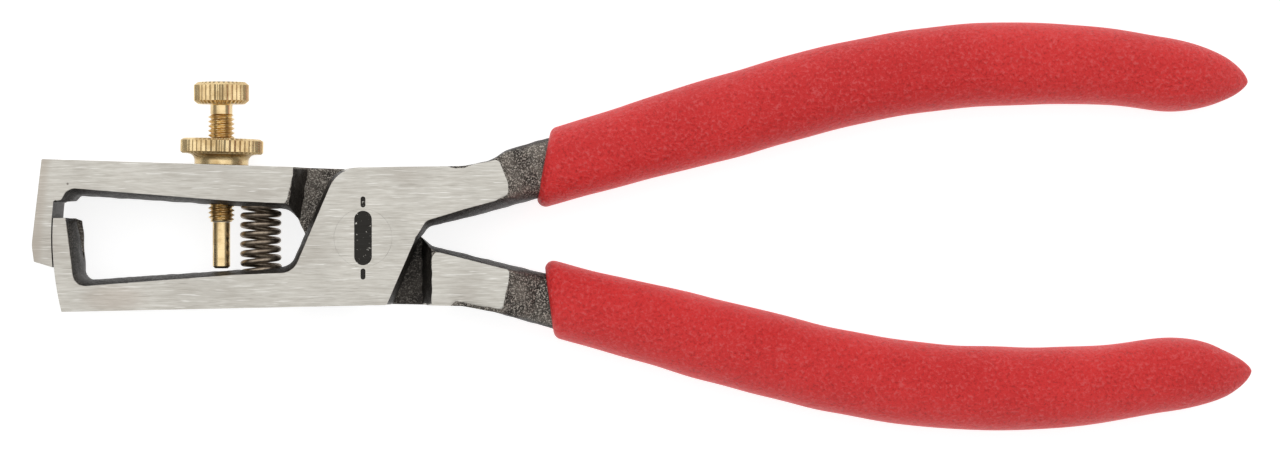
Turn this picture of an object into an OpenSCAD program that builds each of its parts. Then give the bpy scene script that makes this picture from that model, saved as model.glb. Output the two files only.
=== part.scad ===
// Adjustable wire stripper, 160 mm, with two V-notched end blades.
// X runs from the blades to the handle ends, Y runs across the handles, Z along the rivet.
// The origin is on the rivet axis, on the lower ground face of the head.
// The parts stand as at rest: the stop pin is just clear of the lower arm.

/* [General] */
// Part to draw

/* [Head] */
// Thickness of the ground head
head_t = 11; // [9:0.1:13]
// Play between the two lapped plates
lap_gap = 0.06; // [0.02:0.01:0.2]
// Where the lap starts, on the jaw side
lap_jaw_x = -8.4; // [-10:0.1:-7]
// Where the lap ends, on the handle side
lap_handle_x = 8.0; // [7:0.1:10]
// Where the ground pads of the handle roots end
pad_end_x = 18.4; // [16:0.1:20]

/* [Blades] */
// Radius on which the two blades slide past each other
shear_r = 40.6; // [38:0.1:44]
// Play between the two blades
shear_gap = 0.1; // [0.04:0.01:0.3]
// Height of the inner corner above the upper blade
blade_root_y = 4.8; // [4:0.1:5.5]
// Lower end of the upper blade
upper_tip_y = -3.9; // [-6:0.1:-2]
// Upper end of the lower blade
lower_tip_y = 2.6; // [1:0.1:4]
// Depth of each V-notch
notch_depth = 4.5; // [3:0.1:5]
// Full angle of each V-notch
notch_angle = 60; // [50:1:100]

/* [Rivet] */
// Diameter of the rivet
rivet_d = 6; // [5:0.1:8]
// Diameter of the two set heads
rivet_head_d = 7.5; // [6.5:0.1:10]
// Radial play in the turning half
rivet_play = 0.05; // [0.02:0.01:0.1]

/* [Adjusting screw] */
// Distance of the screw axis from the rivet axis
screw_x = -19; // [-24:0.1:-17]
// Outside diameter of the thread
thread_d = 3.5; // [3:0.1:5]
// Radial play of the thread in its tapped holes
thread_play = 0.05; // [0.02:0.01:0.1]
// Lower end of the thread
thread_low_y = 2.1; // [0:0.1:4]
// Upper end of the thread
thread_top_y = 16.4; // [14:0.1:18]
// Diameter of the plain neck
neck_d = 2.9; // [2:0.1:3.4]
// Diameter of the knurled head
knob_d = 7.24; // [6:0.01:9]
// Underside of the knurled head
knob_low_y = 17.6; // [16:0.1:19]
// Height of the knurled head
knob_h = 2.9; // [2:0.1:4]
// Chamfer of the knurled head
knob_chamfer = 0.45; // [0.2:0.05:0.8]
// Diameter of the plain stop pin
pin_d = 2.3; // [1.8:0.1:2.8]
// Lower end of the stop pin
pin_low_y = -4; // [-4.05:0.05:-3]

/* [Lock nut] */
// Height of the faced seat on the upper arm
seat_y = 9.5; // [9.3:0.05:9.6]
// Diameter of the knurled flange
nut_d = 10.86; // [9:0.01:11]
// Height of the knurled flange
nut_flange_h = 2.3; // [1.5:0.1:3]
// Height of the hollowed boss below it
nut_boss_h = 1.5; // [1:0.1:2]
// Diameter of the boss under the flange
nut_boss_top_d = 8.8; // [8:0.1:10]
// Diameter of the boss at the seat
nut_boss_low_d = 7.1; // [6:0.1:8]

/* [Spring] */
// Distance of the spring axis from the rivet axis
spring_x = -13.7; // [-16:0.1:-12]
// Outside diameter of the spring
spring_d = 5.46; // [4:0.01:6]
// Wire thickness
spring_wire = 0.75; // [0.5:0.05:1]
// Diameter of the blind seats
spring_seat_d = 6; // [5.6:0.1:7]
// Lower end of the spring
spring_low_y = -5.45; // [-6:0.05:-5]
// Upper end of the spring
spring_top_y = 5.25; // [5:0.05:6]

/* [Handles] */
// Slope of the upper handle at its root
upper_slope = 15.9; // [10:0.1:20]
// Crown of the upper handle along X
upper_crown_x = 87.4; // [80:0.1:95]
// Crown of the upper handle along Y
upper_crown_y = 22.95; // [15:0.05:30]
// Slope of the lower handle at its root
lower_slope = 14.4; // [10:0.1:20]
// Crown of the lower handle along X
lower_crown_x = 84.5; // [80:0.1:95]
// Crown of the lower handle along Y
lower_crown_y = 19.85; // [15:0.05:30]
// Radius of the handle bend
handle_r = 110; // [80:1:150]
// Where the bend passes into the rounded end
bend_end_x = 104; // [98:0.5:108]
// Where the steel core starts
core_start_x = 22.6; // [22:0.1:24]
// Width of the steel core
core_w = 7.8; // [6:0.1:9]
// Thickness of the steel core
core_t = 7.6; // [6:0.1:9]
// Corner radius of the steel core
core_r = 1.2; // [0.5:0.1:2]

/* [Grips] */
// Width of a dipped grip
grip_w = 10.6; // [9:0.1:12]
// Thickness of a dipped grip
grip_t = 10.4; // [9:0.1:10.8]
// Corner radius of a dipped grip
grip_r = 4.7; // [3:0.1:5]
// Where the dipped coating starts
grip_start_x = 23.8; // [20:0.1:30]
// Length of the rounded end
grip_end_l = 12.2; // [8:0.1:14]
// Clearance between a coating and its core
grip_fit = 0.05; // [0.01:0.01:0.1]

/* [Hidden] */
mid_z = head_t / 2;
half_lap = lap_gap / 2;
root_end_x = grip_start_x - 0.1;
nut_low_y = seat_y + 0.03;
spring_mean_r = (spring_d - spring_wire) / 2;
steel = [0.52, 0.5, 0.47];
dark = [0.32, 0.28, 0.24];
brass = [0.8, 0.65, 0.35];
red = [0.8, 0.2, 0.2];
$fn = 96;

function xy(v) = [v[0], v[1]];
function unit(v) = v / norm(v);

// Points of the arc of radius r that rounds corner b of the path a, b, c
function corner_arc(a, b, c, r) =
    let (
        half = acos(unit(a - b) * unit(c - b)) / 2,
        centre = b + unit(unit(a - b) + unit(c - b)) * r / sin(half),
        from = b + unit(a - b) * r / tan(half) - centre,
        side = cross(b - a, c - b) > 0 ? 1 : -1,
        turn = 180 - 2 * half,
        steps = ceil(turn / 8)
    )
    [for (i = [0:steps]) let (t = side * turn * i / steps)
        centre + [from[0] * cos(t) - from[1] * sin(t), from[0] * sin(t) + from[1] * cos(t)]];

// Outline through corners [x, y, radius], listed anticlockwise; a radius of 0 leaves a sharp corner
module rounded(corners) {
    n = len(corners);
    polygon([for (i = [0:n - 1]) let (b = corners[i])
        each b[2] > 0 ? corner_arc(xy(corners[(i + n - 1) % n]), xy(b), xy(corners[(i + 1) % n]), b[2])
            : [xy(b)]]);
}

// Rounded rectangle, w along X and t along Y
module bar_section(w, t, r) {
    square([w - 2 * r, t], center = true);
    square([w, t - 2 * r], center = true);
    for (i = [-1, 1], j = [-1, 1]) translate([i * (w / 2 - r), j * (t / 2 - r)]) circle(r = r);
}

// Cylinder along Y between two heights, with separate end radii
module along_y(x, y0, y1, r0, r1) {
    translate([x, y0, mid_z]) rotate([-90, 0, 0]) cylinder(h = y1 - y0, r1 = r0, r2 = r1);
}

// Bent bar of the lower handle: straight from the root, then bent over its crown
module bent_bar(slope, crown_x, crown_y, from_x, w, t, r) {
    run = (crown_x - handle_r * sin(slope) - from_x) / cos(slope);
    rise = asin((bend_end_x - crown_x) / handle_r);
    translate([crown_x, handle_r - crown_y, mid_z]) rotate([0, 0, -90 - slope]) {
        rotate_extrude(angle = slope + rise, $fn = 240) translate([handle_r, 0]) bar_section(w, t, r);
        translate([handle_r, 0, 0]) rotate([90, 0, 0]) linear_extrude(run) bar_section(w, t, r);
    }
}

// Rounded, bullet-shaped end of the lower grip, turned by the given slope
module bullet_end(crown_x, crown_y, slope) {
    rise = asin((bend_end_x - crown_x) / handle_r);
    base = grip_t / 2 - 0.15;
    nose_r = (base * base + grip_end_l * grip_end_l) / (2 * base);
    translate([bend_end_x, handle_r * (1 - cos(rise)) - crown_y, mid_z]) rotate([0, 0, slope])
        rotate([0, 90, 0]) rotate_extrude() intersection() {
            translate([base - nose_r, 0]) circle(r = nose_r, $fn = 240);
            translate([0, -1.6]) square([base, grip_end_l + 1.2]);
        }
}

// Outline of the turning half: lower jaw, lap plate and root of the upper handle
module front_outline() {
    difference() {
        rounded([[-42, -9.7, 0], [3.2, -8.75, 1], [7, 0.4, 0], [8.3, 1.6, 1.5], [root_end_x, 5.7, 0],
            [root_end_x, 13.0, 0], [19.8, 12.0, 4], [15.4, 10.0, 4], [12.6, 9.45, 4], [-4.2, 9.2, 2.4],
            [-9.7, -3.75, 2.4], [-37.55, -5.5, 1.6], [-37.55, lower_tip_y, 0.2], [-42, lower_tip_y, 0]]);
        difference() {
            translate([-60, -20]) square([28, 40]);
            circle(r = shear_r - shear_gap / 2, $fn = 720);
        }
    }
}

// Outline of the fixed half: upper jaw, lap plate and root of the lower handle
module back_outline() {
    difference() {
        rounded([[-41.9, 10.3, 0.3], [-43.2, -0.9, 4], [-42.9, -3.1, 0.3], [-39.9, upper_tip_y - 0.1, 0],
            [-39.9, blade_root_y, 0], [-37.4, 5.85, 1.2], [-9.7, 3.68, 2.4], [-4.3, -9.0, 2.4],
            [13.2, -8.75, 4], [19.2, -10.1, 4], [root_end_x, -11.5, 0], [root_end_x, -4.6, 0],
            [7.1, -0.35, 2], [3.2, 8.85, 1], [-8.9, 9.26, 0]]);
        intersection() {
            translate([-60, blade_root_y - 20]) square([28, 20]);
            circle(r = shear_r + shear_gap / 2, $fn = 720);
        }
    }
}

// Side shape shared by both halves: full thickness to the pads, then tapering to the cores
module side_shape() {
    neck = core_t / 2 - 0.3;
    translate([0, 30, 0]) rotate([90, 0, 0]) linear_extrude(60)
        polygon([[-60, 0], [pad_end_x, 0], [root_end_x - 0.4, mid_z - neck], [30, mid_z - neck],
            [30, mid_z + neck], [root_end_x - 0.4, mid_z + neck], [pad_end_x, head_t], [-60, head_t]]);
}

// Prism that cuts a V-notch whose bottom is at the given height, open upward or downward
module notch(bottom_y, up) {
    reach = 8;
    w = reach * tan(notch_angle / 2);
    translate([-50, bottom_y, mid_z]) rotate([90, 0, 90]) linear_extrude(14)
        polygon([[0, 0], [up * reach, w], [up * reach, -w]]);
}

// Fixed half with the upper blade; the rivet, screw and lower grip are held in it
module back_half() {
    color(steel) difference() {
        union() {
            intersection() {
                linear_extrude(head_t) back_outline();
                side_shape();
            }
            bent_bar(lower_slope, lower_crown_x, lower_crown_y, core_start_x, core_w, core_t, core_r);
        }
        translate([lap_jaw_x, -20, mid_z - half_lap]) cube([lap_handle_x - lap_jaw_x, 40, head_t]);
        intersection() {
            notch(upper_tip_y + notch_depth, -1);
            translate([-50, -20, -1]) cube([12, 30, head_t + 2]);
        }
        translate([0, 0, -1]) cylinder(h = head_t + 2, d = rivet_d);
        cylinder(h = 0.75, d1 = rivet_head_d, d2 = rivet_d);
        along_y(screw_x, 0, 12, thread_d / 2 + thread_play, thread_d / 2 + thread_play);
        along_y(screw_x, seat_y, 12, 4.6, 4.6);
        along_y(spring_x, 0, spring_top_y, spring_seat_d / 2, spring_seat_d / 2);
    }
}

// Turning half with the lower blade and the upper handle
module front_half() {
    color(steel) difference() {
        union() {
            intersection() {
                linear_extrude(head_t) front_outline();
                side_shape();
            }
            mirror([0, 1, 0])
                bent_bar(upper_slope, upper_crown_x, upper_crown_y, core_start_x, core_w, core_t, core_r);
        }
        translate([lap_jaw_x, -20, -head_t + mid_z + half_lap]) cube([lap_handle_x - lap_jaw_x, 40, head_t]);
        notch(lower_tip_y - notch_depth, 1);
        translate([0, 0, -1]) cylinder(h = head_t + 2, r = rivet_d / 2 + rivet_play);
        translate([0, 0, head_t - 0.75])
            cylinder(h = 0.75, r1 = rivet_d / 2 + rivet_play, r2 = rivet_head_d / 2 + rivet_play);
        along_y(spring_x, spring_low_y, 0, spring_seat_d / 2, spring_seat_d / 2);
    }
}

// Rivet with both heads set into countersinks and ground flush
module joint_rivet() {
    color(steel) {
        cylinder(h = head_t, d = rivet_d);
        cylinder(h = 0.75, d1 = rivet_head_d, d2 = rivet_d);
        translate([0, 0, head_t - 0.75]) cylinder(h = 0.75, d1 = rivet_d, d2 = rivet_head_d);
    }
}

// Opening spring, drawn as the tube that its coils fill
module spring() {
    color(dark) translate([spring_x, spring_low_y + 0.02, mid_z]) rotate([-90, 0, 0])
        linear_extrude(spring_top_y - spring_low_y - 0.04) difference() {
            circle(r = spring_mean_r + spring_wire / 2);
            circle(r = spring_mean_r - spring_wire / 2);
        }
}

// Knurled head, plain neck and threaded shank
module adjusting_screw() {
    rim_low_y = knob_low_y + knob_chamfer;
    rim_top_y = knob_low_y + knob_h - knob_chamfer;
    color(brass) {
        along_y(screw_x, thread_low_y, thread_top_y, thread_d / 2, thread_d / 2);
        along_y(screw_x, thread_top_y - 0.5, knob_low_y + 0.5, neck_d / 2, neck_d / 2);
        along_y(screw_x, knob_low_y, rim_low_y, knob_d / 2 - knob_chamfer, knob_d / 2);
        along_y(screw_x, rim_low_y, rim_top_y, knob_d / 2, knob_d / 2);
        along_y(screw_x, rim_top_y, knob_low_y + knob_h, knob_d / 2, knob_d / 2 - knob_chamfer);
    }
}

// Plain pin at the end of the screw, which meets the lower arm
module stop_pin() {
    color(brass) {
        along_y(screw_x, pin_low_y + 0.3, thread_low_y - 0.02, pin_d / 2, pin_d / 2);
        along_y(screw_x, pin_low_y, pin_low_y + 0.3, pin_d / 2 - 0.3, pin_d / 2);
    }
}

// Knurled lock nut with a hollowed boss that seats on the upper arm
module lock_nut() {
    boss_top_y = nut_low_y + nut_boss_h;
    hollow = (nut_boss_top_d - nut_boss_low_d) / 2;
    color(brass) translate([screw_x, nut_low_y, mid_z]) rotate([-90, 0, 0]) rotate_extrude() difference() {
        union() {
            translate([thread_d / 2 + thread_play, 0])
                square([nut_boss_top_d / 2 - thread_d / 2 - thread_play, nut_boss_h]);
            translate([thread_d / 2 + thread_play, nut_boss_h])
                square([nut_d / 2 - thread_d / 2 - thread_play, nut_flange_h]);
        }
        translate([nut_boss_top_d / 2, nut_boss_h - hollow]) circle(r = hollow);
        translate([nut_boss_low_d / 2, -1]) square([hollow + 1, nut_boss_h - hollow + 1]);
    }
}

// Dipped coating around one handle core
module grip(slope, crown_x, crown_y, end_slope) {
    difference() {
        union() {
            bent_bar(slope, crown_x, crown_y, grip_start_x - 3, grip_w, grip_t, grip_r);
            bullet_end(crown_x, crown_y, end_slope);
        }
        bent_bar(slope, crown_x, crown_y, grip_start_x - 4,
            core_w + 2 * grip_fit, core_t + 2 * grip_fit, core_r);
        translate([grip_start_x - 30, -50, -1]) cube([30, 60, head_t + 2]);
    }
}

module upper_grip() {
    color(red) mirror([0, 1, 0]) grip(upper_slope, upper_crown_x, upper_crown_y, 5.8);
}

module lower_grip() {
    color(red) grip(lower_slope, lower_crown_x, lower_crown_y, 3);
}

back_half();
front_half();
joint_rivet();
spring();
adjusting_screw();
stop_pin();
lock_nut();
upper_grip();
lower_grip();
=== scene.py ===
import math

import bmesh
import bpy
import numpy as np
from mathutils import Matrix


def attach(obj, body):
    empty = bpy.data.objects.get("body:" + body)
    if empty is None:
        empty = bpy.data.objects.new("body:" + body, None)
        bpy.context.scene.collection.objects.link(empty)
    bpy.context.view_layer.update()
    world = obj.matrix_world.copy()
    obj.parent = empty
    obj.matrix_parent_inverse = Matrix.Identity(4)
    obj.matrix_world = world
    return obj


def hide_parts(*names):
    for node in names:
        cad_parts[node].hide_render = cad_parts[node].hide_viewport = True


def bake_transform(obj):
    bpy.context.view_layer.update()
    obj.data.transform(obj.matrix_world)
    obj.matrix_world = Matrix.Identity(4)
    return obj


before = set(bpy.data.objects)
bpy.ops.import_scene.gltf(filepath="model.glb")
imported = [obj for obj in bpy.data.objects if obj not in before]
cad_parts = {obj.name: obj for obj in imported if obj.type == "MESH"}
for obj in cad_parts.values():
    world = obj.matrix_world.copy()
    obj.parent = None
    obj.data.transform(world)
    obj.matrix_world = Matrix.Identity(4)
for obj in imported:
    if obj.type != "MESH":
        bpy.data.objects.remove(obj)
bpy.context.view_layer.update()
MM = 0.001
MID = 5.5  # half the head's thickness, mm
SCREW_X, SPRING_X = -19.0, -13.7
RIVET_R = 3.78
SEAT_R = 3.0  # the spring's blind seats
PIN_HOLE_R, SCREW_HOLE_R = 1.25, 1.8
LAP_PLAY = 0.03  # from the middle of the head to either lap
CORE_HALF, CORE_ROUNDING = 3.55, 1.7  # half thickness and rounded edges of a handle's core
NUT_SEAT_R, NUT_SEAT_Y = 4.6, 9.5
NOTCH_DEPTH = 4.5
BLADE_R = 40.6  # the jaws shear along this radius about the rivet
NOTCH_HALF = math.radians(30)  # half the angle of each V-notch
VIEW_DISTANCE, VIEW_WIDTH = 550, 168.5  # from the camera to the head, and what it sees there, mm

# ---------------------------------------------------------------- camera, light and floor
scene = bpy.context.scene
scene.view_settings.view_transform = "Standard"

cam_data = bpy.data.cameras.new("camera")
cam_data.sensor_width = 36
cam_data.lens = cam_data.sensor_width * VIEW_DISTANCE / VIEW_WIDTH
cam = bpy.data.objects.new("camera", cam_data)
cam.location = (0.0361, 0.00091, 0.5555)
scene.collection.objects.link(cam)
scene.camera = cam

world = bpy.data.worlds.new("studio")
world.use_nodes = True
world.node_tree.nodes["Background"].inputs[0].default_value = (1.0, 1.0, 1.0, 1)
world.node_tree.nodes["Background"].inputs[1].default_value = 0.32
scene.world = world

# one large soft box overhead, set back so that it also shines on the upper flanks
soft = bpy.data.lights.new("softbox", "AREA")
soft.shape = "RECTANGLE"
soft.size, soft.size_y = 2.2, 1.5
soft.energy = 10.5
softbox = bpy.data.objects.new("softbox", soft)
softbox.location = (0.03, 0.52, 1.0)
scene.collection.objects.link(softbox)


# ---------------------------------------------------------------- material helpers
class Graph:
    """A small wrapper that makes shader nodes and links them."""

    def __init__(self, name):
        self.mat = bpy.data.materials.new(name)
        self.mat.use_nodes = True
        self.tree = self.mat.node_tree
        self.shader = self.tree.nodes["Principled BSDF"]

    def node(self, kind, values=None, **props):
        n = self.tree.nodes.new(kind)
        for k, v in props.items():
            setattr(n, k, v)
        for k, v in (values or {}).items():
            self.put(n.inputs[k], v)
        return n

    def put(self, socket, v):
        if isinstance(v, bpy.types.NodeSocket):
            self.tree.links.new(v, socket)
        else:
            socket.default_value = v

    def math(self, op, a, b=0.0, c=0.0, clamp=False):
        n = self.node("ShaderNodeMath", operation=op, use_clamp=clamp)
        for s, v in zip(n.inputs, (a, b, c)):
            self.put(s, v)
        return n.outputs[0]

    def ramp(self, v, lo, hi, out_lo=0.0, out_hi=1.0):
        n = self.node("ShaderNodeMapRange", {0: v, 1: lo, 2: hi, 3: out_lo, 4: out_hi})
        n.interpolation_type = "SMOOTHSTEP"
        return n.outputs[0]

    def coords(self, scale=(1, 1, 1)):
        pos = self.node("ShaderNodeTexCoord").outputs["Object"]
        return self.node("ShaderNodeMapping", {"Vector": pos, "Scale": scale}).outputs[0]

    def xyz(self):
        """The three object coordinates of the shaded point, in metres."""
        return self.node("ShaderNodeSeparateXYZ", {0: self.coords()}).outputs

    def noise(self, vector, scale, detail=3.0, rough=0.55):
        values = {"Vector": vector, "Scale": scale, "Detail": detail, "Roughness": rough}
        return self.node("ShaderNodeTexNoise", values).outputs["Fac"]

    def mix(self, fac, a, b):
        n = self.node("ShaderNodeMix", data_type="RGBA")
        self.put(n.inputs[0], fac)
        self.put(n.inputs[6], a)
        self.put(n.inputs[7], b)
        return n.outputs[2]

    def bump(self, height, strength, distance, normal=None):
        n = self.node("ShaderNodeBump", {"Height": height, "Strength": strength, "Distance": distance})
        if normal:
            self.put(n.inputs["Normal"], normal)
        return n.outputs[0]

    def set(self, **values):
        for k, v in values.items():
            self.put(self.shader.inputs[k.replace("_", " ")], v)


def rgb(r, g, b):
    return (r, g, b, 1.0)


def printed_mark(g):
    """Mask of a printed sign, a wire bared at both ends: its jacket on the rivet, its ends on the plate."""
    x, y, z = g.xyz()

    def bar(centre, half_length, radius):
        off = g.math("ABSOLUTE", g.math("SUBTRACT", y, centre))
        beyond = g.math("MAXIMUM", g.math("SUBTRACT", off, half_length), 0.0)
        d = g.math("SQRT", g.math("ADD", g.math("POWER", x, 2.0), g.math("POWER", beyond, 2.0)))
        return g.math("LESS_THAN", d, radius)

    jacket = bar(0.0, 0.0024, 0.00115)
    bare_ends = g.math("MAXIMUM", bar(0.0047, 0.0004, 0.00032), bar(-0.0047, 0.0004, 0.00032))
    on_top = g.math("GREATER_THAN", z, 0.0105)
    wear = g.ramp(g.noise(g.coords(), 2600.0, 3.0, 0.6), 0.28, 0.36)
    return g.math("MULTIPLY", g.math("MULTIPLY", g.math("MAXIMUM", jacket, bare_ends), on_top), wear)


def ground_steel(g):
    """Colour, roughness and height of ground steel: fine marks along X, slow stains and a few pits."""
    pos = g.coords()
    fine = g.noise(g.coords((560, 9800, 9800)), 1.0, 3.0, 0.65)
    wide = g.noise(g.coords((190, 3000, 3000)), 1.0, 3.0, 0.6)
    streak = g.noise(g.coords((330, 7600, 7600)), 1.0, 1.0, 0.5)
    stain = g.noise(pos, 130.0, 3.0, 0.5)
    marks = g.math("ADD", g.math("MULTIPLY", fine, 0.5), g.math("MULTIPLY", wide, 0.5))
    colour = g.mix(g.ramp(marks, 0.34, 0.66), rgb(0.435, 0.412, 0.368), rgb(0.585, 0.566, 0.518))
    colour = g.mix(g.ramp(stain, 0.45, 0.8, 0.0, 0.5), colour, rgb(0.46, 0.42, 0.37))
    colour = g.mix(g.ramp(streak, 0.64, 0.74, 0.0, 0.7), colour, rgb(0.78, 0.77, 0.73))
    colour = g.mix(g.ramp(streak, 0.34, 0.24, 0.0, 0.45), colour, rgb(0.25, 0.23, 0.20))
    # the outer end of the upper jaw is relieved by the wheel; a darker, warmer band is painted there as
    # shade for that slight fall of the face, which is not modelled
    x, y, _ = g.xyz()
    inward = g.math("ADD", g.math("ADD", x, 0.0431), g.math("MULTIPLY", y, -0.105))
    colour = g.mix(g.ramp(inward, 0.0006, 0.0017, 0.45, 0.0), colour, rgb(0.40, 0.345, 0.29))
    # the colour is darker and browner in a soft patch near the corner of the lower jaw
    along = g.math("DIVIDE", g.math("ADD", x, 0.0325), 0.0046)
    across = g.math("DIVIDE", g.math("ADD", y, 0.0079), 0.0020)
    spread_out = g.math("ADD", g.math("POWER", along, 2.0), g.math("POWER", across, 2.0))
    colour = g.mix(g.ramp(spread_out, 1.2, 0.0, 0.0, 0.4), colour, rgb(0.40, 0.335, 0.285))
    pits = g.node("ShaderNodeTexVoronoi", {"Vector": pos, "Scale": 520.0, "Randomness": 1.0})
    rare = g.node("ShaderNodeSeparateColor", {0: pits.outputs["Color"]}).outputs[0]
    bottom = g.ramp(pits.outputs["Distance"], 0.04, 0.11, 1.0, 0.0)
    pit = g.math("MULTIPLY", bottom, g.math("GREATER_THAN", rare, 0.975))
    colour = g.mix(g.math("MULTIPLY", pit, 0.8), colour, rgb(0.1, 0.085, 0.07))
    height = g.math("SUBTRACT", marks, g.math("MULTIPLY", pit, 0.6))
    return colour, g.ramp(stain, 0.25, 0.75, 0.30, 0.42), height


def level_from_middle(g, z):
    """Height of a point above or below the middle of the head."""
    return g.math("ABSOLUTE", g.math("SUBTRACT", z, MID * MM))


def steel_material(name):
    """Ground steel on the two faces and the outer sides, dark granular forging everywhere else."""
    g = Graph(name)
    pos = g.coords()
    ground, ground_rough, ground_height = ground_steel(g)
    ground = g.mix(g.math("MULTIPLY", printed_mark(g), 0.97), ground, rgb(0.012, 0.011, 0.01))
    # forged skin: dark scale with coarse grain and painted glints as bright specks, with painted shade
    # darkening the steep walls
    x, _, z = g.xyz()
    level = level_from_middle(g, z)
    grain = g.noise(pos, 3600.0, 4.0, 0.75)
    lump = g.noise(pos, 420.0, 2.0, 0.5)
    painted_glint = g.ramp(g.noise(pos, 4300.0, 4.0, 0.8), 0.51, 0.60)
    skin = g.mix(g.ramp(lump, 0.3, 0.7), rgb(0.019, 0.016, 0.014), rgb(0.165, 0.144, 0.122))
    # painted highlight: pale specks stand for glints on the grain
    skin = g.mix(g.math("MULTIPLY", painted_glint, 0.9), skin, rgb(0.70, 0.64, 0.56))
    # painted shade: faces that turn away from upright are darkened towards black
    face_normal = g.node("ShaderNodeNewGeometry").outputs["True Normal"]
    up = g.node("ShaderNodeSeparateXYZ", {0: face_normal}).outputs[2]
    wall_shade_fac = g.ramp(g.math("ABSOLUTE", up), 0.3, 0.85)
    skin = g.mix(wall_shade_fac, g.mix(0.84, skin, rgb(0.012, 0.009, 0.007)), skin)
    # painted shade darkens the deep lap beside the handle root
    in_lap = g.math("MULTIPLY", g.ramp(x, 0.0030, 0.0050), g.ramp(x, 0.0086, 0.0078))
    lap_shade = g.math("MULTIPLY", in_lap, g.ramp(level, 0.0030, 0.0026, 0.0, 0.62))
    skin = g.mix(lap_shade, skin, rgb(0.014, 0.012, 0.010))
    skin_height = g.math("ADD", g.math("MULTIPLY", grain, 0.6), g.math("MULTIPLY", lump, 0.5))
    # ground where a face was reached by the wheel: high enough, and inside the edge stored on the mesh
    past_edge = g.node("ShaderNodeAttribute", attribute_name="past_edge").outputs["Fac"]
    flat = g.math("MULTIPLY", g.math("GREATER_THAN", level, 0.0054), g.math("LESS_THAN", past_edge, 0.0))
    ground_side = g.node("ShaderNodeAttribute", attribute_name="ground_side").outputs["Fac"]
    side = g.math("GREATER_THAN", ground_side, 0.5)
    mask = g.math("MAXIMUM", flat, side)
    plain = g.math("SUBTRACT", 1.0, mask)
    n1 = g.bump(g.math("MULTIPLY", skin_height, plain), 1.0, 0.00022)
    n2 = g.bump(g.math("MULTIPLY", ground_height, mask), 0.3, 0.00004, n1)
    skin_rough = g.ramp(grain, 0.2, 0.8, 0.38, 0.6)
    rough = g.math("ADD", g.math("MULTIPLY", mask, ground_rough), g.math("MULTIPLY", plain, skin_rough))
    g.set(Base_Color=g.mix(mask, skin, ground), Metallic=g.math("ADD", g.math("MULTIPLY", mask, 0.4), 0.6),
          Roughness=rough, Normal=n2)
    return g.mat


def rivet_material():
    g = Graph("rivet_steel")
    colour, rough, height = ground_steel(g)
    colour = g.mix(g.math("MULTIPLY", printed_mark(g), 0.97), colour, rgb(0.012, 0.011, 0.01))
    g.set(Base_Color=colour, Metallic=1.0, Roughness=rough, Normal=g.bump(height, 0.3, 0.00004))
    return g.mat


def brass_material():
    """Turned brass: rings of fine tool marks about the screw axis, and a slow brown film."""
    g = Graph("brass")
    pos = g.coords()
    x, y, z = g.xyz()
    across = g.math("POWER", g.math("SUBTRACT", x, SCREW_X * MM), 2.0)
    radius = g.math("SQRT", g.math("ADD", across, g.math("POWER", g.math("SUBTRACT", z, MID * MM), 2.0)))
    rings = g.node("ShaderNodeCombineXYZ", {0: radius, 1: y, 2: 0.0}).outputs[0]
    fine = g.noise(rings, 7000.0, 3.0, 0.65)
    stain = g.noise(pos, 420.0, 4.0, 0.6)
    colour = g.mix(g.ramp(stain, 0.36, 0.68), rgb(0.80, 0.62, 0.345), rgb(0.60, 0.42, 0.20))
    colour = g.mix(g.ramp(fine, 0.52, 0.8, 0.0, 0.4), colour, rgb(0.90, 0.77, 0.51))
    colour = g.mix(g.ramp(fine, 0.46, 0.28, 0.0, 0.35), colour, rgb(0.42, 0.28, 0.12))
    g.set(Base_Color=colour, Metallic=1.0, Roughness=g.ramp(stain, 0.3, 0.7, 0.20, 0.36),
          Normal=g.bump(fine, 0.15, 0.00003))
    return g.mat


def spring_material():
    g = Graph("spring_steel")
    pos = g.coords()
    film = g.noise(pos, 900.0, 3.0, 0.6)
    colour = g.mix(g.ramp(film, 0.35, 0.7), rgb(0.24, 0.19, 0.145), rgb(0.47, 0.39, 0.30))
    g.set(Base_Color=colour, Metallic=0.95, Roughness=g.ramp(film, 0.3, 0.7, 0.28, 0.42),
          Normal=g.bump(film, 0.2, 0.00004))
    return g.mat


def grip_material():
    g = Graph("dipped_red")
    pos = g.coords()
    cloud = g.noise(pos, 70.0, 3.0, 0.5)
    grain = g.noise(pos, 2100.0, 3.0, 0.7)
    ripple = g.noise(pos, 620.0, 2.0, 0.5)
    colour = g.mix(g.ramp(cloud, 0.3, 0.7), rgb(0.83, 0.021, 0.022), rgb(0.93, 0.031, 0.031))
    # painted sparkle: the brightest grains are lifted to a pale pink as painted highlights
    colour = g.mix(g.ramp(grain, 0.50, 0.68, 0.0, 0.55), colour, rgb(0.96, 0.16, 0.16))
    colour = g.mix(g.ramp(grain, 0.46, 0.32, 0.0, 0.5), colour, rgb(0.50, 0.008, 0.009))
    height = g.math("ADD", grain, g.math("MULTIPLY", ripple, 0.5))
    g.set(Base_Color=colour, Roughness=g.ramp(grain, 0.25, 0.75, 0.36, 0.54),
          Normal=g.bump(height, 0.9, 0.0005))
    return g.mat


steel = steel_material("forged_steel")
rivet_steel = rivet_material()
brass = brass_material()
bronze = spring_material()
red = grip_material()


# ---------------------------------------------------------------- mesh helpers
def weld(mesh):
    """Joins the vertices that coincide at poles and seams, and drops the flat faces between them."""
    bm = bmesh.new()
    bm.from_mesh(mesh)
    bmesh.ops.remove_doubles(bm, verts=bm.verts, dist=1e-7)
    bm.to_mesh(mesh)
    bm.free()


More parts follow.
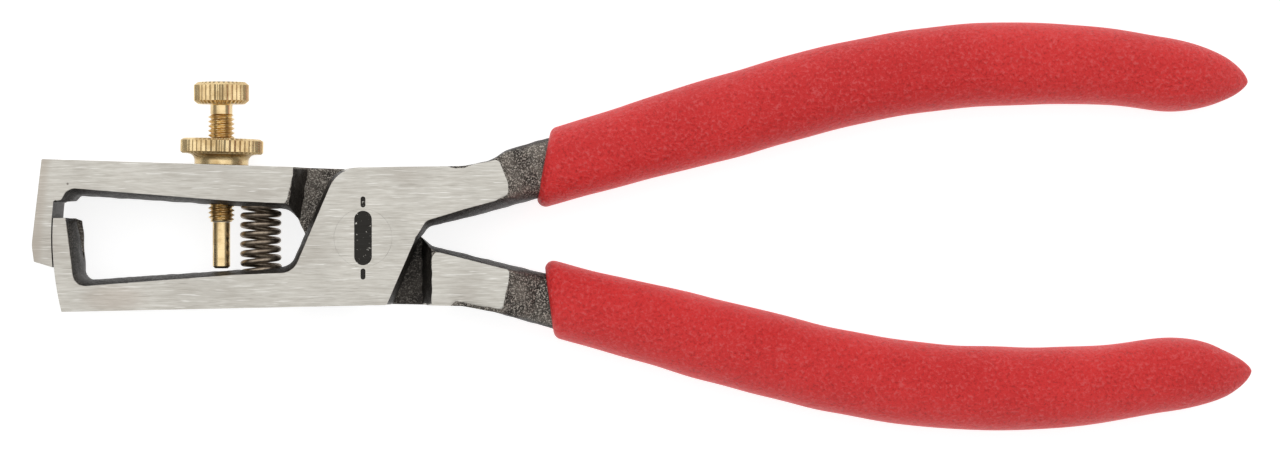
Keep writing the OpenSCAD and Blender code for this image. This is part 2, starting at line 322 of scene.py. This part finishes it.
def add_mesh(name, verts_mm, faces, material, body, node, smooth_angle, welded=True):
    """Mesh object with vertices in mm; it rides a body and stands for a node of the CAD."""
    verts = np.asarray(verts_mm, np.float32) * MM
    mesh = bpy.data.meshes.new(name)
    if isinstance(faces, np.ndarray):
        faces = np.ascontiguousarray(faces, np.int32)
        mesh.vertices.add(len(verts))
        mesh.vertices.foreach_set("co", verts.ravel())
        mesh.loops.add(faces.size)
        mesh.loops.foreach_set("vertex_index", faces.ravel())
        mesh.polygons.add(len(faces))
        mesh.polygons.foreach_set("loop_start", np.arange(0, faces.size, faces.shape[1], dtype=np.int32))
        mesh.update(calc_edges=True)
    else:
        mesh.from_pydata(verts.tolist(), [], [[int(i) for i in f] for f in faces])
        mesh.update()
    if welded:
        weld(mesh)
    mesh.materials.append(material)
    mesh.shade_smooth()
    mesh.set_sharp_from_angle(angle=math.radians(smooth_angle))
    obj = bpy.data.objects.new(name, mesh)
    scene.collection.objects.link(obj)
    if body:
        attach(obj, body)
    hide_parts(node)
    return obj


def grid_faces(rows, cols, closed_cols=True):
    i, j = np.meshgrid(np.arange(rows - 1), np.arange(cols if closed_cols else cols - 1), indexing="ij")
    i, j = i.ravel(), j.ravel()
    k = (j + 1) % cols
    return np.stack([i * cols + j, i * cols + k, (i + 1) * cols + k, (i + 1) * cols + j], 1)


def smoothstep(lo, hi, v):
    t = np.clip((v - lo) / (hi - lo), 0, 1)
    return t * t * (3 - 2 * t)


# ---------------------------------------------------------------- the two forged halves
def outline(corners):
    """Closed outline through corners (x, y, radius), the corners rounded by arcs."""
    pts, n = [], len(corners)
    for i, (x, y, r) in enumerate(corners):
        b = np.array([x, y], float)
        if r == 0:
            pts.append(b)
            continue
        u = np.array(corners[i - 1][:2]) - b
        v = np.array(corners[(i + 1) % n][:2]) - b
        u, v = u / np.linalg.norm(u), v / np.linalg.norm(v)
        half = math.acos(np.clip(u @ v, -1, 1)) / 2
        centre = b + (u + v) / np.linalg.norm(u + v) * r / math.sin(half)
        start = b + u * r / math.tan(half) - centre
        side = 1 if u[1] * v[0] - u[0] * v[1] > 0 else -1
        turn = math.pi - 2 * half
        steps = max(2, math.ceil(turn / 0.16))
        for k in range(steps + 1):
            t = side * turn * k / steps
            pts.append(centre + [start[0] * math.cos(t) - start[1] * math.sin(t),
                                 start[0] * math.sin(t) + start[1] * math.cos(t)])
    return np.array(pts, np.float32)


def mirrored(corners):
    return [(x, -y, r) for x, y, r in corners]


def signed_distance(pts, x, y):
    """Signed distance from points to a closed outline, negative inside."""
    best = np.full(np.shape(x), 1e9, np.float32)
    inside = np.zeros(np.shape(x), bool)
    for a, b in zip(pts, np.roll(pts, -1, 0)):
        e = b - a
        dx, dy = x - a[0], y - a[1]
        t = np.clip((dx * e[0] + dy * e[1]) / max(float(e @ e), 1e-12), 0, 1)
        best = np.minimum(best, (dx - t * e[0]) ** 2 + (dy - t * e[1]) ** 2)
        if abs(e[1]) > 1e-9:
            inside ^= ((a[1] > y) != (b[1] > y)) & (dx < dy * (e[0] / e[1]))
    d = np.sqrt(best)
    return np.where(inside, -d, d)


def hard_max(*fields):
    out = fields[0]
    for f in fields[1:]:
        out = np.maximum(out, f)
    return out


def soft_max(a, b, k):
    """Maximum with its crease rounded over a width of about k."""
    k = np.maximum(k, 1e-3)
    h = np.maximum(k - np.abs(a - b), 0)
    return np.maximum(a, b) + h * h / (4 * k)


def waves(x, y, z, seed, size):
    """Smooth, repeatable unevenness of about unit height, from a few sine waves."""
    r = np.random.default_rng(seed)
    total = 0
    for _ in range(6):
        d = r.normal(size=3)
        d = d / np.linalg.norm(d) * 2 * math.pi / (size * r.uniform(0.6, 1.6))
        total = total + np.sin(x * float(d[0]) + y * float(d[1]) + z * float(d[2]) + r.uniform(0, 6.28))
    return total / 2.4


# Outlines of the turning half at mid-thickness and at its faces: x, y and corner radius
FRONT_MID = [(-42, -9.7, 0), (3.6, -8.75, 0.6), (7.2, 0.1, 0.4), (8.2, 1.45, 1.0), (13.3, 2.65, 6),
             (27, 6.4, 0), (27, 13.95, 0), (18.6, 11.6, 3), (16.6, 10.2, 3), (13.0, 9.38, 4),
             (-4.0, 9.2, 4.0), (-9.8, -3.75, 2.2), (-36.95, -5.55, 1.3), (-37.4, 2.6, 0), (-42, 2.6, 0)]
FRONT_FACE = [(-42, -9.7, 0), (3.05, -8.75, 0.4), (6.9, 0.1, 0.4), (8.2, 2.25, 1.4), (12.7, 3.6, 6),
              (17.2, 4.85, 6), (27, 7.9, 0), (27, 12.9, 0), (18.4, 11.0, 3), (16.6, 10.0, 3),
              (13.0, 9.38, 4), (-3.25, 9.2, 4.4), (-9.1, -4.5, 2.4), (-16.9, -4.83, 9), (-37.7, -6.4, 1.7),
              (-38.8, 2.6, 0), (-42, 2.6, 0)]
# The same for the fixed half
BACK_MID = [(-41.9, 10.3, 0.2), (-43.2, -0.9, 4), (-42.9, -3.1, 0.2), (-39.9, -4.0, 0), (-39.9, 4.6, 0),
            (-38.3, 4.7, 0.6), (-37.5, 5.55, 0.6), (-9.35, 3.72, 2.4), (-4.05, -8.85, 3.2), (3.5, -8.7, 0),
            (12.9, -8.88, 3), (16.9, -9.7, 6), (27, -12.6, 0), (27, -5.5, 0), (8.6, -1.05, 1.2),
            (7.0, 0.4, 0.6), (3.6, 8.85, 0.6), (-8.9, 9.26, 0)]
BACK_FACE = [(-41.9, 10.3, 0.2), (-43.2, -0.9, 4), (-42.9, -3.1, 0.2), (-39.9, -4.0, 0), (-39.9, 4.88, 0),
             (-39.4, 4.95, 0.2), (-38.5, 6.55, 1.7), (-16.9, 4.83, 9), (-8.8, 4.47, 2.5), (-3.4, -8.85, 3.5),
             (3.5, -8.7, 0), (12.9, -8.88, 3), (16.9, -9.6, 4), (27, -11.4, 0), (27, -6.6, 0),
             (19.05, -4.2, 6), (9.2, -1.7, 0.8), (6.9, -0.1, 0.4), (3.05, 8.85, 0.4), (-8.9, 9.26, 0)]
# Where grinding has reached: the upper and the lower handle root, and the pad on the jaw beside the lap
UPPER_ROOT = [(8.4, 2.2, 1), (12.7, 3.6, 6), (17.3, 4.85, 2), (18.95, 5.7, 0.7), (18.9, 7.3, 1.5),
              (17.7, 10.15, 0.6), (15.6, 9.95, 2), (14.0, 9.42, 1), (12.3, 9.0, 1.5), (10.7, 9.5, 0.3)]
LOWER_ROOT = [(11.3, -9.0, 0.2), (12.0, -8.2, 0.5), (13.6, -8.45, 1), (15.3, -8.85, 2), (18.2, -9.35, 0.5),
              (18.9, -5.9, 1.5), (19.1, -4.15, 0.5), (12.3, -2.3, 3), (9.0, -1.75, 0.8)]
PLATE_UP = [(10.9, 30, 0), (-60, 30, 0), (-60, -30, 0), (6.8, -30, 0), (6.8, 0, 0)]
PLATE_DOWN = [(6.8, 0, 0), (6.8, 30, 0), (-60, 30, 0), (-60, -30, 0), (11.3, -30, 0)]
ROOT_STEP_UP = [(8.9, 9.6, 0), (8.7, 6.9, 1), (8.95, 4.2, 1)]
ROOT_STEP_DOWN = [(8.95, -4.2, 1), (8.7, -6.9, 1), (8.9, -9.6, 0)]
JAW_PAD = [(-60, 30, 0), (-8.95, 30, 0), (-9.0, 8.5, 1), (-9.75, 6.0, 1), (-10.0, 4.45, 0.9), (-12, 4.2, 0),
           (-60, -30, 0)]


class Half:
    """Solid of one half: side +1 is the turning half, whose plate lies on top, and -1 the fixed half."""

    def __init__(self, side):
        self.side = side
        upper = side > 0
        self.mid = outline(FRONT_MID if upper else BACK_MID)
        self.face = outline(FRONT_FACE if upper else BACK_FACE)
        root = UPPER_ROOT if upper else LOWER_ROOT
        self.plate_pad = outline(root + (PLATE_UP if upper else PLATE_DOWN))
        self.root_pad = outline(root + (ROOT_STEP_UP if upper else ROOT_STEP_DOWN))
        self.jaw_pad = outline(mirrored(JAW_PAD) if upper else JAW_PAD)

    def plan(self, x, y):
        """Distances in plan that the solid is made of."""
        step_pad = np.minimum(signed_distance(self.root_pad, x, y), signed_distance(self.jaw_pad, x, y))
        return (signed_distance(self.mid, x, y), signed_distance(self.face, x, y),
                signed_distance(self.plate_pad, x, y), step_pad)

    def field(self, x, y, z, plan):
        d_mid, d_face, d_plate, d_step = plan
        side = self.side
        h = z - MID
        tall = np.abs(h)
        rough = waves(x, y, z, 3 + side, 2.6)
        w = np.minimum(tall / MID, 1) ** 2.5
        wall = d_mid * (1 - w) + d_face * w
        ground_side = (np.abs(y) > 8.2) & (x < 11)
        wall = wall + np.where(ground_side, 0, 0.035) * rough * (1 - w)
        # the forged skin lies on the grinding plane at the pads and falls away beyond them
        d_pad = np.where(side * h > 0, d_plate, d_step)
        skin = MID + 0.02 - 0.5 * np.maximum(d_pad, 0) + 0.05 * rough * (d_pad > 0)
        skin = np.where(d_pad > 0, np.minimum(skin, MID - 0.04), MID + 1)
        skin = np.maximum(skin, CORE_HALF + 0.05 * rough)
        top = np.maximum(tall - MID, (tall - skin) * 0.9)
        solid = soft_max(wall, top, CORE_ROUNDING * smoothstep(18.5, 21.5, x))
        # the lap: its step walls lean back towards the face
        up = -side * h
        yy = -side * y
        left = -7.65 - 0.15 * (9 - yy) - 0.26 * up + 0.06 * rough
        right = 7.4 + 0.28 * up + 0.06 * rough
        lap = hard_max(left - x, x - right, LAP_PLAY + 0.015 * rough - up)
        solid = hard_max(solid, -lap)
        groove = hard_max(np.abs(x - 5.85) - 0.16, np.abs(yy - 4.4) - 2.8, -0.22 - up)
        solid = hard_max(solid, -groove)
        # blades: the shear radius and the V-notches
        r = np.sqrt(x * x + y * y)
        tip = x < -34
        if side > 0:
            solid = np.where(tip, hard_max(solid, r - (BLADE_R - 0.12)), solid)
            notch_y, opens = 2.6 - NOTCH_DEPTH, 1.0
            bevel = np.maximum(BLADE_R - 0.9 - r, 0) * 0.35
        else:
            solid = np.where(tip & (y < 4.83), hard_max(solid, BLADE_R + 0.05 - r), solid)
            notch_y, opens = -3.9 + NOTCH_DEPTH, -1.0
            bevel = np.maximum(r - BLADE_R - 0.6, 0) * 0.5
        notch = (tall - opens * (y - notch_y) * math.tan(NOTCH_HALF) - bevel) * math.cos(NOTCH_HALF)
        solid = np.where(tip & (r > 36.2), hard_max(solid, -notch), solid)
        # rivet bore, spring seats, screw bore and the faced seat of the lock nut
        solid = hard_max(solid, RIVET_R + 0.004 - r)
        seat_r = np.sqrt((x - SPRING_X) ** 2 + h * h)
        screw_r = np.sqrt((x - SCREW_X) ** 2 + h * h)
        if side > 0:
            solid = hard_max(solid, -hard_max(seat_r - SEAT_R, -5.45 - y, y))
            solid = hard_max(solid, -hard_max(screw_r - PIN_HOLE_R, -4.36 - y, y))
        else:
            solid = hard_max(solid, -hard_max(seat_r - SEAT_R, y - 5.25, -y))
            solid = hard_max(solid, -hard_max(screw_r - SCREW_HOLE_R, -y))
            solid = hard_max(solid, -hard_max(screw_r - NUT_SEAT_R, NUT_SEAT_Y - y))
        return hard_max(solid, x - 26.5)

    def past_edge(self, p):
        """Distance past the edge of the grinding, a little uneven, negative where a face is ground."""
        x, y, z = p.T
        d_plate, d_step = self.plan(x, y)[2:]
        d_pad = np.where(self.side * (z - MID) > 0, d_plate, d_step)
        return d_pad + 0.04 * waves(x, y, z, 9 + self.side, 1.6)

    def on_grid(self, xs, ys, zs):
        x, y = np.meshgrid(xs, ys, indexing="ij")
        plan = self.plan(x, y)
        return np.stack([self.field(x, y, z, plan) for z in zs], 2)

    def at(self, p):
        return self.field(p[:, 0], p[:, 1], p[:, 2], self.plan(p[:, 0], p[:, 1]))


PROBE = 0.008  # distance over which a solid's gradient is taken, mm
TO_MEAN = 0.03  # how strongly a vertex is held at the mean of its cell's crossings


def contour(half, lo, hi, step):
    """Quad mesh of a solid's surface, with its creases kept sharp (dual contouring)."""
    axes = [np.arange(a, b + step, step, dtype=np.float32) for a, b in zip(lo, hi)]
    origin = np.array([a[0] for a in axes])
    value = half.on_grid(*axes)
    inside = value < 0
    cells = np.array(value.shape) - 1
    count = int(cells.prod())
    sums = np.zeros((13, count))
    edges = []
    for axis in range(3):
        lower = inside.take(range(cells[axis]), axis)
        upper = inside.take(range(1, cells[axis] + 1), axis)
        at = np.argwhere(lower != upper)
        u, w = [(1, 2), (2, 0), (0, 1)][axis]
        at = at[(at[:, u] > 0) & (at[:, w] > 0) & (at[:, u] < cells[u]) & (at[:, w] < cells[w])]
        end = at.copy()
        end[:, axis] += 1
        va, vb = value[tuple(at.T)], value[tuple(end.T)]
        p = (origin + at * step).astype(np.float32)
        p[:, axis] += step * va / (va - vb)
        f = half.at(p)
        ahead = [half.at(p + np.eye(3, dtype=np.float32)[k] * PROBE) for k in range(3)]
        grad = np.stack([value_ahead - f for value_ahead in ahead], 1) / PROBE
        length = np.maximum(np.linalg.norm(grad, axis=1), 0.3)
        n = grad / length[:, None]
        p = p - n * np.clip(f / length, -0.3 * step, 0.3 * step)[:, None]
        ring = []
        for du, dw in ((1, 1), (0, 1), (0, 0), (1, 0)):
            c = at.copy()
            c[:, u] -= du
            c[:, w] -= dw
            flat = (c[:, 0] * cells[1] + c[:, 1]) * cells[2] + c[:, 2]
            ring.append(flat)
            d = (n * p).sum(1)
            nx, ny, nz = n.T
            squares = [nx ** 2, ny ** 2, nz ** 2, nx * ny, nx * nz, ny * nz]
            rows = squares + [nx * d, ny * d, nz * d, p[:, 0], p[:, 1], p[:, 2], np.ones(len(d))]
            for row, weights in zip(sums, rows):
                row += np.bincount(flat, weights, count)
        ring = np.stack(ring, 1)
        ring[~lower[tuple(at.T)]] = ring[~lower[tuple(at.T)]][:, ::-1]
        edges.append(ring)
    used = np.flatnonzero(sums[12])
    s = sums[:, used]
    mean = (s[9:12] / s[12]).T
    a = np.empty((len(used), 3, 3))
    a[:, 0, 0], a[:, 1, 1], a[:, 2, 2] = s[0], s[1], s[2]
    a[:, 0, 1] = a[:, 1, 0] = s[3]
    a[:, 0, 2] = a[:, 2, 0] = s[4]
    a[:, 1, 2] = a[:, 2, 1] = s[5]
    rest = s[6:9].T - np.einsum("nij,nj->ni", a, mean)
    a += np.eye(3) * (TO_MEAN * s[12])[:, None, None]
    verts = mean + np.linalg.solve(a, rest[:, :, None])[:, :, 0]
    cell = np.stack(np.unravel_index(used, cells), 1)
    low = origin + cell * step
    verts = np.clip(verts, low - 0.2 * step, low + 1.2 * step)
    index = np.full(count, -1)
    index[used] = np.arange(len(used))
    return verts, index[np.concatenate(edges)]


def make_half(side, name, body, node):
    half = Half(side)
    coarse, fine = 0.4, 0.2
    y_low, y_high = (-10.1, 14.5) if side > 0 else (-13.1, 10.7)
    low, high = (-43.6, y_low, -0.33), (26.9, y_high, 11.3)
    verts, quads = contour(half, low, high, fine)
    # faces of the outer sides are ground too; the rest between the two faces is forged
    x, y, _ = verts[quads].mean(1).T
    r = np.hypot(x, y)
    normal = np.cross(verts[quads[:, 2]] - verts[quads[:, 0]], verts[quads[:, 3]] - verts[quads[:, 1]])
    upright = np.abs(normal[:, 2]) < 0.5 * np.linalg.norm(normal, axis=1)
    outer = (y > 9.0 - 0.032 * (x + 8)) & (x < 10.9) | (y < -8.66 + 0.0195 * (x - 3.5)) & (x < 11.3)
    left = (x < -41.6) if side < 0 else (r > BLADE_R - 0.3) & (x < -37)
    obj = add_mesh(name, verts, quads, steel, body, node, 32, welded=False)
    mask = obj.data.attributes.new("ground_side", "FLOAT", "FACE")
    mask.data.foreach_set("value", ((outer | left) & upright).astype(np.float32))
    edge = obj.data.attributes.new("past_edge", "FLOAT", "POINT")
    edge.data.foreach_set("value", half.past_edge(verts).astype(np.float32))


make_half(1, "front_forging", "turning_side", "front_half")
make_half(-1, "back_forging", "fixed_side", "back_half")

# the plain stop pin keeps its CAD shape
for pin_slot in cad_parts["stop_pin"].material_slots:
    pin_slot.material = brass


# ---------------------------------------------------------------- turned brass pieces
KNURL_DEPTH = 0.17


def lathe_y(profile, cols, shape_fn=None):
    """Surface turned about the screw axis from a list of (radius, y); shape_fn may change its radii."""
    theta = np.linspace(0, 2 * math.pi, cols, endpoint=False)
    prof = np.array(profile, float)
    r = np.repeat(prof[:, :1], cols, 1)
    y = np.repeat(prof[:, 1:2], cols, 1)
    if shape_fn:
        r = shape_fn(r, y, theta[None, :])
    verts = np.stack([SCREW_X + r * np.cos(theta), y, MID + r * np.sin(theta)], 2).reshape(-1, 3)
    return verts, grid_faces(len(prof), cols)[:, ::-1]


def ridges(theta, count, depth):
    """Straight knurl: rounded V-ridges."""
    t = np.abs(((theta * count / (2 * math.pi)) % 1) * 2 - 1)
    return depth * (smoothstep(0.0, 1.0, t) - 1)


def spread(a, b, n):
    """n points on the way from a to b, without b itself."""
    return [(a[0] + (b[0] - a[0]) * i / n, a[1] + (b[1] - a[1]) * i / n) for i in range(n)]


def make_screw():
    pitch, y_low, y_top = 0.6, 2.1, 16.4
    knob_r, low, high, teeth = 3.62, 17.6, 20.5, 34
    prof = [(0.0, low)] + spread((1.35, low), (knob_r - 0.55, low), 4)
    prof += spread((knob_r - 0.55, low), (knob_r, low + 0.45), 5)
    prof += spread((knob_r, low + 0.45), (knob_r, high - 0.4), 14)
    prof += spread((knob_r, high - 0.4), (knob_r - 0.5, high), 6)
    prof += spread((knob_r - 0.5, high), (0.6, high - 0.05), 8) + [(0.0, high - 0.05)]

    def knurl(r, y, th):
        rim = smoothstep(knob_r - 0.62, knob_r - 0.25, r)
        return r + rim * ridges(th, teeth, KNURL_DEPTH)

    v1, f1 = lathe_y(prof, teeth * 8, knurl)
    # plain neck
    neck_r, neck_low, neck_top = 1.45, 16.3, 17.45
    neck = [(0, neck_low)] + spread((neck_r, neck_low), (neck_r, neck_top), 4)
    neck += [(neck_r, neck_top), (neck_r + 0.15, low + 0.02), (0, low + 0.02)]
    v2, f2 = lathe_y(neck, 48)
    # thread
    rows_per_pitch, thread_r, crest_r, deepest = 12, 1.75, 1.73, 0.37
    rows = int((y_top - y_low) / pitch * rows_per_pitch)
    flank = [(thread_r, y_low + (y_top - y_low) * i / rows) for i in range(rows + 1)]
    prof = [(0, y_low)] + flank + [(0, y_top)]

    def helix(r, y, th):
        phase = (y / pitch + th / (2 * math.pi)) % 1
        cut = np.abs(phase * 2 - 1)
        depth = deepest * np.clip(1.15 - 1.3 * cut, 0, 1)
        ends = smoothstep(y_low - 0.01, y_low + 0.45, y) * smoothstep(y_top + 0.01, y_top - 0.4, y)
        body = np.minimum(r, crest_r) - depth - deepest * (1 - ends) * (1 - depth / deepest) * 0.9
        return np.where(r > 0.01, body, r)

    v3, f3 = lathe_y(prof, 64, helix)
    verts = np.concatenate([v1, v2, v3])
    faces = list(f1) + list(f2 + len(v1)) + list(f3 + len(v1) + len(v2))
    add_mesh("screw_turned", verts, faces, brass, "screw", "adjusting_screw", 28)


def make_nut():
    low, rim, top, r_rim, hole, teeth = 9.53, 11.03, 12.98, 5.43, 1.86, 48
    waist, flare = 3.55, 0.85
    prof = [(hole, low + 0.1)] + spread((hole + 0.15, low), (3.5, low), 4)
    prof += [(3.5, low), (waist, low + 0.06)]
    for i in range(9):
        a = math.pi / 2 * i / 8
        prof.append((waist + flare * (1 - math.cos(a)), low + 0.55 + flare * math.sin(a)))
    prof += spread((4.42, rim - 0.03), (r_rim - 0.25, rim - 0.03), 3)
    prof += spread((r_rim - 0.25, rim - 0.03), (r_rim, rim + 0.2), 4)
    prof += spread((r_rim, rim + 0.2), (r_rim, top - 0.25), 12)
    prof += spread((r_rim, top - 0.25), (r_rim - 0.4, top), 6)
    prof += spread((r_rim - 0.4, top), (hole + 0.3, top), 8) + [(hole + 0.3, top), (hole, top - 0.3)]

    def knurl(r, y, th):
        zone = smoothstep(r_rim - 0.5, r_rim - 0.15, r) * (y > rim - 0.1)
        return r + zone * ridges(th, teeth, KNURL_DEPTH)

    v, f = lathe_y(prof + [prof[0]], teeth * 8, knurl)
    # the nut sits a little askew on the rough seat
    tilt = math.radians(-1.4)
    dx, dy = v[:, 0] - SCREW_X, v[:, 1] - low
    v[:, 0] = SCREW_X + dx * math.cos(tilt) - dy * math.sin(tilt)
    v[:, 1] = low + 0.07 + dx * math.sin(tilt) + dy * math.cos(tilt)
    add_mesh("nut_turned", v, f, brass, "nut", "lock_nut", 28)


def make_rivet():
    """Rivet ground flush on both faces, with a hairline chamfer where it meets the plates."""
    cols = 160
    theta = np.linspace(0, 2 * math.pi, cols, endpoint=False)
    rings = [(0.0, 0.0), (1.5, 0.0), (RIVET_R - 0.005, 0.0), (RIVET_R, 0.005), (RIVET_R, 5.5),
             (RIVET_R, 10.995), (RIVET_R - 0.005, 11.0), (1.5, 11.0), (0.0, 11.0)]
    circles = [np.stack([r * np.cos(theta), r * np.sin(theta), 0 * theta + z], 1) for r, z in rings]
    verts = np.concatenate(circles)
    add_mesh("rivet_ground", verts, grid_faces(len(rings), cols), rivet_steel, "fixed_side", "joint_rivet",
             30)


make_screw()
make_nut()
make_rivet()


# ---------------------------------------------------------------- opening spring
def make_spring():
    wire, mean = 0.375, 2.35
    y0, y1 = -5.4 + wire, 5.2 - wire
    turns, n = 8.84, 440
    # the end coils lie close, over dead_turns and a rise of dead mm each, with an even pitch between
    dead_turns, dead = 0.9, 0.702
    first_angle, half_length = 1.75, 5.03
    t = np.linspace(0, 1, n)
    turn = t * turns
    first = np.clip(turn / dead_turns, 0, 1)
    even = np.clip((turn - dead_turns) / (turns - 2 * dead_turns), 0, 1)
    final = np.clip((turn - turns + dead_turns) / dead_turns, 0, 1)
    y = y0 + dead * first + (y1 - y0 - 2 * dead) * even + dead * final
    a = first_angle - 2 * math.pi * turns * t
    # between its seats it bows to the left, and its upper coils hang to the right
    from_middle = y / half_length
    lean = -(0.0625 + 0.046 * y) * (1 - from_middle ** 6)
    bow = -0.15 * (1 - from_middle ** 2)
    centre = np.stack([SPRING_X + bow + mean * np.cos(a), y + lean * np.cos(a), MID + mean * np.sin(a)], 1)
    tangent = np.gradient(centre, axis=0)
    tangent /= np.linalg.norm(tangent, axis=1)[:, None]
    radial = np.stack([np.cos(a), 0 * a, np.sin(a)], 1)
    radial -= (radial * tangent).sum(1)[:, None] * tangent
    radial /= np.linalg.norm(radial, axis=1)[:, None]
    third = np.cross(tangent, radial)
    cols = 14
    th = np.linspace(0, 2 * math.pi, cols, endpoint=False)[None, :, None]
    ring = centre[:, None] + wire * (radial[:, None] * np.cos(th) + third[:, None] * np.sin(th))
    verts = np.concatenate([ring.reshape(-1, 3), centre[:1], centre[-1:]])
    faces = list(grid_faces(n, cols))
    k = n * cols
    faces += [(k, (j + 1) % cols, j) for j in range(cols)]
    faces += [(k + 1, (n - 1) * cols + j, (n - 1) * cols + (j + 1) % cols) for j in range(cols)]
    obj = add_mesh("spring_coil", verts, faces, bronze, None, "spring", 60)
    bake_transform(obj)


make_spring()


# ---------------------------------------------------------------- dipped grips
RIM_R = 1.1  # rounding of a coating's rim, mm
NOSE = 12.0  # length over which a coating's end narrows, mm
SECTION = 2 / 2.35  # power that squares the coating's round section a little


def handle_line(x, slope, crown, tip):
    """Height of a handle's centre line: it climbs at slope, bends over the crown, and ends at the tip."""
    bend_r, leave_x, join_x = 110.0, 101.0, 113.0
    cx, cy = crown
    bend_x = cx - bend_r * math.sin(slope)
    straight = cy - bend_r * (1 - math.cos(slope)) - (bend_x - x) * math.tan(slope)
    bend = cy - bend_r + np.sqrt(np.maximum(bend_r ** 2 - (x - cx) ** 2, 1))
    y = np.where(x < bend_x, straight, bend)
    leave_y = cy - bend_r + math.sqrt(bend_r ** 2 - (leave_x - cx) ** 2)
    line = leave_y + (tip[1] - leave_y) * (x - leave_x) / (tip[0] - leave_x)
    return y + (line - y) * smoothstep(leave_x, join_x, x)


def section(centre, along, width, thick, lean, cols):
    """Ring of a coating: width across the handle, thick along Z; lean slants it along the handle."""
    t = np.linspace(0, 2 * math.pi, cols, endpoint=False)
    across = np.sign(np.cos(t)) * np.abs(np.cos(t)) ** SECTION
    up = np.sign(np.sin(t)) * np.abs(np.sin(t)) ** SECTION
    x = centre[0] + across * (along[0] * lean - along[1] * width)
    y = centre[1] + across * (along[1] * lean + along[0] * width)
    return np.stack([x, y, MID + thick * up], 1)


def make_grip(side, name, body, node, slope, crown, rim_x, lean, tip):
    """Dipped coating of one handle: side +1 is the upper one, and -1 the lower one, drawn mirrored."""
    cols = 64
    rim = rim_x + RIM_R * (1 - np.cos(np.linspace(0, math.pi / 2, 9)[:-1]))
    rest = tip[0] - (tip[0] - rim_x - RIM_R) * np.linspace(1, 0, 260)[:-1] ** 1.6
    x = np.concatenate([rim, rest])
    centre = np.stack([x, handle_line(x, math.radians(slope), crown, tip)], 1)
    along = np.gradient(centre, axis=0)
    along /= np.linalg.norm(along, axis=1)[:, None]
    s = (x - rim_x) / (tip[0] - rim_x)
    nose = (1 - (1 - np.clip((tip[0] - x) / NOSE, 0, 1)) ** 2) ** 0.66
    from_rim = np.clip((x - rim_x) / RIM_R, 0, 1)
    inset = RIM_R * (1 - np.sqrt(from_rim * (2 - from_rim)))
    width = (4.88 + 0.62 * smoothstep(0, 0.3, s) - 0.65 * smoothstep(0.62, 0.9, s)) * nose - inset
    thick = (4.85 + 0.35 * smoothstep(0, 0.3, s) - 0.45 * smoothstep(0.7, 0.92, s)) * nose - inset
    slant = lean * (1 - smoothstep(0, 20, x - rim_x))
    # the first ring lies inside, about as wide as the steel there, and a disc closes it
    mouth, mouth_half = centre[0] + 3.0 * along[0], 3.6
    rings = [section(mouth, along[0], mouth_half, mouth_half, lean, cols)]
    rings += [section(*row, cols) for row in zip(centre, along, width, thick, slant)]
    v = np.concatenate(rings)
    # the dipped skin is not quite even
    axis_y = np.interp(v[:, 0], x, centre[:, 1])
    out = np.stack([np.zeros(len(v)), v[:, 1] - axis_y, v[:, 2] - MID], 1)
    out /= np.maximum(np.linalg.norm(out, axis=1), 1)[:, None]
    v = v + out * 0.05 * waves(v[:, 0], v[:, 1], v[:, 2], 11 + side, 9.0)[:, None]
    v = np.concatenate([v, [[*mouth, MID], [*tip, MID]]])
    v[:, 1] *= side
    last_ring, mouth_index, tip_index = (len(rings) - 1) * cols, len(v) - 2, len(v) - 1
    faces = grid_faces(len(rings), cols).tolist()
    for j in range(cols):
        after = (j + 1) % cols
        faces.append([mouth_index, after, j])
        faces.append([tip_index, last_ring + j, last_ring + after])
    if side < 0:
        faces = [f[::-1] for f in faces]
    add_mesh(name, v, faces, red, body, node, 60)


make_grip(1, "upper_coating", "turning_side", "upper_grip", 15.9, (87.4, 22.95), 23.45, 1.96, (116.1, 20.5))
make_grip(-1, "lower_coating", "fixed_side", "lower_grip", 14.4, (84.5, 19.85), 24.2, 1.56, (116.6, 17.5))

# ---------------------------------------------------------------- floor
FLOOR_HALF, FLOOR_Z = 3.0, -0.0002  # metres
floor_corners = [(-FLOOR_HALF, -FLOOR_HALF, FLOOR_Z), (FLOOR_HALF, -FLOOR_HALF, FLOOR_Z),
                 (FLOOR_HALF, FLOOR_HALF, FLOOR_Z), (-FLOOR_HALF, FLOOR_HALF, FLOOR_Z)]
floor_mesh = bpy.data.meshes.new("floor")
floor_mesh.from_pydata(floor_corners, [], [(0, 1, 2, 3)])
floor = bpy.data.objects.new("floor", floor_mesh)
scene.collection.objects.link(floor)
g = Graph("floor_white")
tone = g.ramp(g.noise(g.coords(), 9.0, 2.0, 0.5), 0.3, 0.7)
paper = g.mix(tone, rgb(0.44, 0.44, 0.44), rgb(0.46, 0.46, 0.46))
g.set(Base_Color=paper, Roughness=0.9, Emission_Color=rgb(1, 1, 1), Emission_Strength=0.82)
floor_mesh.materials.append(g.mat)
